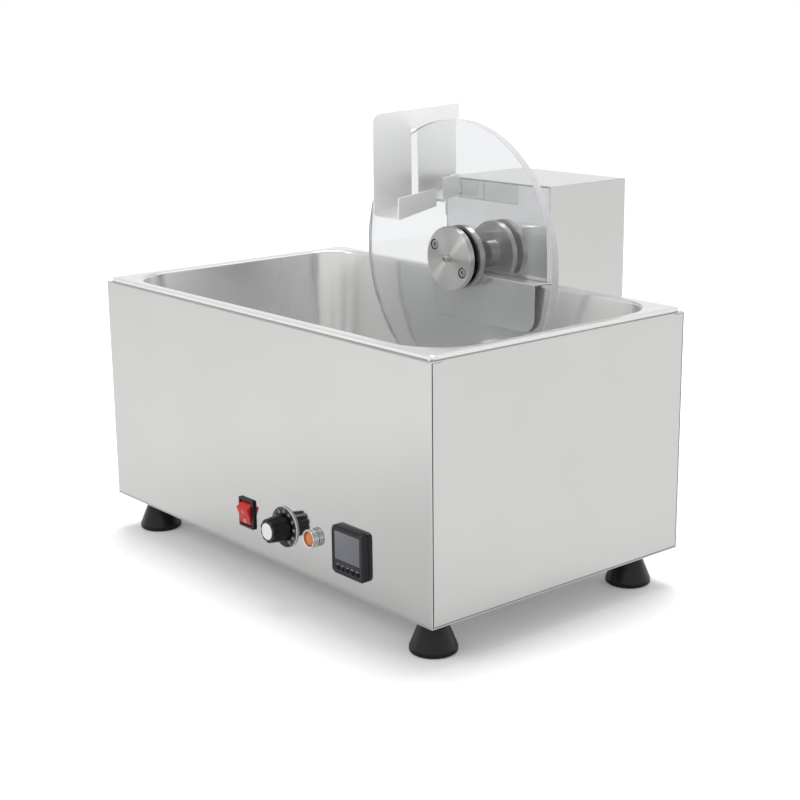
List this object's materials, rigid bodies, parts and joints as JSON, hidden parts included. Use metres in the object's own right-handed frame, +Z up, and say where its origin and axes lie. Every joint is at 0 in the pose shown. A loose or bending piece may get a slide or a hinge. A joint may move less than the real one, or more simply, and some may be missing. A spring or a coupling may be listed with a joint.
{
  "type": "chocolate tempering machine",
  "caption": "Countertop chocolate tempering machine: heated steel housing with a lift-out pan, a clear turning wheel, a scraper and a hook-on drive unit.",
  "frame": {"origin": "on the surface that the feet stand on, under the middle of the whole machine", "axes": "+X to the right along the control face, +Y to the back towards the drive unit, +Z up"},
  "size_m": [0.545, 0.4642, 0.4692],
  "materials": {
    "polished_steel": "stainless sheet polished nearly to a mirror",
    "satin_steel": "satin stainless",
    "pan_steel": "brushed stainless tub with a bright rolled rim",
    "scraper_steel": "folded stainless sheet, smooth",
    "turned_steel": "turned stainless with fine concentric tool marks",
    "zinc_steel": "zinc plated",
    "gear_steel": "machined steel, oiled",
    "gearbox_metal": "die cast",
    "motor_metal": "dark grey paint",
    "bronze": "sintered",
    "lamp_chrome": "bright plated",
    "silver_cap": "spun, satin",
    "clear_acrylic": "clear, with polished edges",
    "amber_lens": "translucent orange",
    "red_plastic": "moulded, smooth",
    "black_plastic": "moulded, semi-gloss",
    "dial_black": "satin black with plain white numbers",
    "controller_plastic": "moulded, fine texture",
    "grey_window": "tinted window",
    "key_rubber": "moulded keys",
    "foot_rubber": "moulded rubber",
    "seal_rubber": "die cut seal",
    "silicone_mat": "silicone heating mat",
    "mineral_wool": "pressed insulation board",
    "circuit_board": "glass fibre board with parts"
  },
  "bodies": {
    "housing": {"base_plate": "satin_steel", "front_panel": "polished_steel", "rear_panel": "polished_steel", "left_side_panel": "polished_steel", "right_side_panel": "polished_steel", "foot_front_left": "foot_rubber", "foot_front_right": "foot_rubber", "foot_rear_left": "foot_rubber", "foot_rear_right": "foot_rubber", "foot_screw_front_left": "zinc_steel", "foot_screw_front_right": "zinc_steel", "foot_screw_rear_left": "zinc_steel", "foot_screw_rear_right": "zinc_steel", "heating_mat": "silicone_mat", "insulation_board": "mineral_wool", "heater_support": "zinc_steel", "temperature_probe": "satin_steel", "switch_body": "black_plastic", "speed_control": "zinc_steel", "dial_plate": "dial_black", "pilot_lamp_bezel": "lamp_chrome", "pilot_lamp_lens": "amber_lens", "controller_case": "black_plastic", "controller_bezel": "controller_plastic", "controller_window": "grey_window", "controller_clamp": "black_plastic", "speed_board": "circuit_board", "mains_gland": "black_plastic", "drive_lead_gland": "black_plastic"},
    "pan": {"pan": "pan_steel"},
    "drive_unit": {"drive_cover": "polished_steel", "drive_front_plate": "polished_steel", "drive_floor": "satin_steel", "drive_unit_gland": "black_plastic", "hook_bracket": "polished_steel", "motor_bracket": "zinc_steel", "gearbox_housing": "gearbox_metal", "motor": "motor_metal", "shaft_bush": "bronze", "scraper_pocket": "satin_steel"},
    "wheel": {"tempering_wheel": "clear_acrylic", "gasket_front": "seal_rubber", "gasket_rear": "seal_rubber", "hub_front_flange": "turned_steel", "hub_rear_flange": "turned_steel", "hub_screw_1": "zinc_steel", "hub_screw_2": "zinc_steel", "output_shaft": "turned_steel", "drive_gear": "gear_steel"},
    "motor_rotor": {"motor_pinion": "gear_steel"},
    "scraper": {"scraper": "scraper_steel"},
    "switch_rocker": {"switch_rocker": "red_plastic"},
    "speed_knob": {"speed_knob": "black_plastic", "knob_cap": "silver_cap", "control_spindle": "zinc_steel"},
    "key_1": {"controller_key_1": "key_rubber"},
    "key_2": {"controller_key_2": "key_rubber"},
    "key_3": {"controller_key_3": "key_rubber"},
    "key_4": {"controller_key_4": "key_rubber"},
    "key_5": {"controller_key_5": "key_rubber"}
  },
  "joints": [
    {"name": "pan_lift", "type": "slide", "parent": "housing", "child": "pan", "axis": [0, 0, 1], "range_m": [0, 0.17]},
    {"name": "drive_unit_lift", "type": "slide", "parent": "pan", "child": "drive_unit", "axis": [0, 0, 1], "range_m": [0, 0.17]},
    {"name": "scraper_lift", "type": "slide", "parent": "drive_unit", "child": "scraper", "axis": [0, 0, 1], "range_m": [0, 0.11]},
    {"name": "wheel_spin", "type": "hinge", "parent": "drive_unit", "child": "wheel", "pos_m": [-0.015, 0.0816, 0.3085], "axis": [0, 1, 0], "continuous": true},
    {"name": "motor_spin", "type": "hinge", "parent": "drive_unit", "child": "motor_rotor", "pos_m": [-0.015, 0.1625, 0.2785], "axis": [0, 1, 0], "continuous": true},
    {"name": "switch_toggle", "type": "hinge", "parent": "housing", "child": "switch_rocker", "pos_m": [-0.012, -0.2061, 0.079], "axis": [-1, 0, 0], "range_deg": [0, 32]},
    {"name": "speed_knob_turn", "type": "hinge", "parent": "housing", "child": "speed_knob", "pos_m": [0.053, -0.2094, 0.0807], "axis": [0, 1, 0], "range_deg": [0, 300]},
    {"name": "key_1_press", "type": "slide", "parent": "housing", "child": "key_1", "axis": [0, 1, 0], "range_m": [0, 0.0006], "stiffness_N_per_m": 600},
    {"name": "key_2_press", "type": "slide", "parent": "housing", "child": "key_2", "axis": [0, 1, 0], "range_m": [0, 0.0006], "stiffness_N_per_m": 600},
    {"name": "key_3_press", "type": "slide", "parent": "housing", "child": "key_3", "axis": [0, 1, 0], "range_m": [0, 0.0006], "stiffness_N_per_m": 600},
    {"name": "key_4_press", "type": "slide", "parent": "housing", "child": "key_4", "axis": [0, 1, 0], "range_m": [0, 0.0006], "stiffness_N_per_m": 600},
    {"name": "key_5_press", "type": "slide", "parent": "housing", "child": "key_5", "axis": [0, 1, 0], "range_m": [0, 0.0006], "stiffness_N_per_m": 600}
  ],
  "couplings": [
    {"joint": "motor_spin", "follows": "wheel_spin", "ratio": -4}
  ]
}
